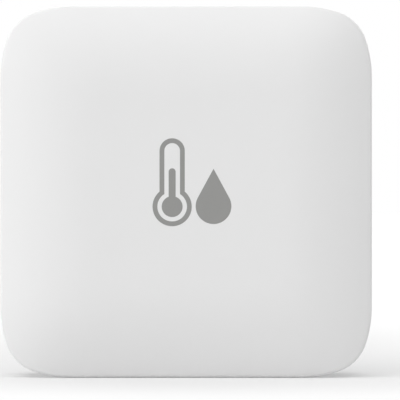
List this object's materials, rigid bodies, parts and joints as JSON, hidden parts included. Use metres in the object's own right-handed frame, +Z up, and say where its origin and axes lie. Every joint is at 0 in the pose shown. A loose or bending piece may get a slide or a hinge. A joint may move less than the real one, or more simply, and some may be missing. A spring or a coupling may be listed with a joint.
{
  "type": "temperature humidity sensor",
  "caption": "Square, flat room sensor with rounded corners and a gently crowned face, bottom vents, a top button and a coin-cell door behind an adhesive pad.",
  "frame": {"origin": "under the middle of the box, on the surface that the sensor's bottom edge stands on", "axes": "+Z up, +X to the right seen from the front, +Y from the face towards the back and its adhesive pad; the face looks along -Y"},
  "size_m": [0.043, 0.0132, 0.043],
  "materials": {
    "cover_plastic": "fine satin, off-white",
    "housing_plastic": "fine satin, off-white",
    "door_plastic": "fine satin, off-white",
    "pad_foam": "matt foam with a smooth release face",
    "button_plastic": "polished",
    "light_pipe_plastic": "clear, polished",
    "led_resin": "milky resin",
    "switch_plastic": "matt black",
    "plunger_plastic": "matt brown",
    "steel_sheet": "tin plated sheet",
    "board_laminate": "green solder mask",
    "module_laminate": "dark blue solder mask",
    "chip_black": "moulded package",
    "crystal_steel": "drawn can",
    "antenna_copper": "gold flashed copper",
    "holder_plastic": "matt black",
    "contact_steel": "nickel plated spring strip",
    "cell_steel": "bright drawn steel",
    "gasket_plastic": "translucent seal",
    "cell_filling": "pressed powder",
    "screw_steel": "zinc plated",
    "ceramic_brown": "fired body with tinned ends",
    "ceramic_dark": "glazed film",
    "capacitor_body": "moulded case"
  },
  "bodies": {
    "housing": {"front_cover": "cover_plastic", "rear_housing": "housing_plastic", "light_pipe": "light_pipe_plastic", "status_led": "led_resin", "switch_body": "switch_plastic", "switch_cover": "steel_sheet", "circuit_board": "board_laminate", "temperature_humidity_chip": "chip_black", "radio_board": "module_laminate", "radio_shield": "steel_sheet", "radio_chip": "chip_black", "radio_crystal": "crystal_steel", "antenna_trace": "antenna_copper", "battery_holder": "holder_plastic", "positive_contact": "contact_steel", "negative_contact": "contact_steel", "coin_cell_can": "cell_steel", "coin_cell_cap": "cell_steel", "coin_cell_gasket": "gasket_plastic", "coin_cell_core": "cell_filling", "board_screw_left": "screw_steel", "board_screw_right": "screw_steel", "reservoir_capacitor": "capacitor_body", "chip_resistor_1": "ceramic_dark", "chip_resistor_2": "ceramic_dark", "chip_resistor_3": "ceramic_dark", "chip_resistor_4": "ceramic_dark", "chip_capacitor_1": "ceramic_brown", "chip_capacitor_2": "ceramic_brown", "chip_capacitor_3": "ceramic_brown", "chip_capacitor_4": "ceramic_brown"},
    "door": {"battery_door": "door_plastic", "adhesive_pad": "pad_foam"},
    "button": {"function_button": "button_plastic"},
    "plunger": {"switch_plunger": "plunger_plastic"}
  },
  "joints": [
    {"name": "door_turn", "type": "hinge", "parent": "housing", "child": "door", "pos_m": [0, 0.006, 0.0215], "axis": [0, 1, 0], "range_deg": [0, 25]},
    {"name": "button_press", "type": "slide", "parent": "housing", "child": "button", "axis": [0, 0, -1], "range_m": [0, 0.00025], "stiffness_N_per_m": 6000},
    {"name": "plunger_press", "type": "slide", "parent": "housing", "child": "plunger", "axis": [0, 0, -1], "range_m": [0, 0.00025]}
  ],
  "couplings": [
    {"joint": "plunger_press", "follows": "button_press", "ratio": 1}
  ]
}
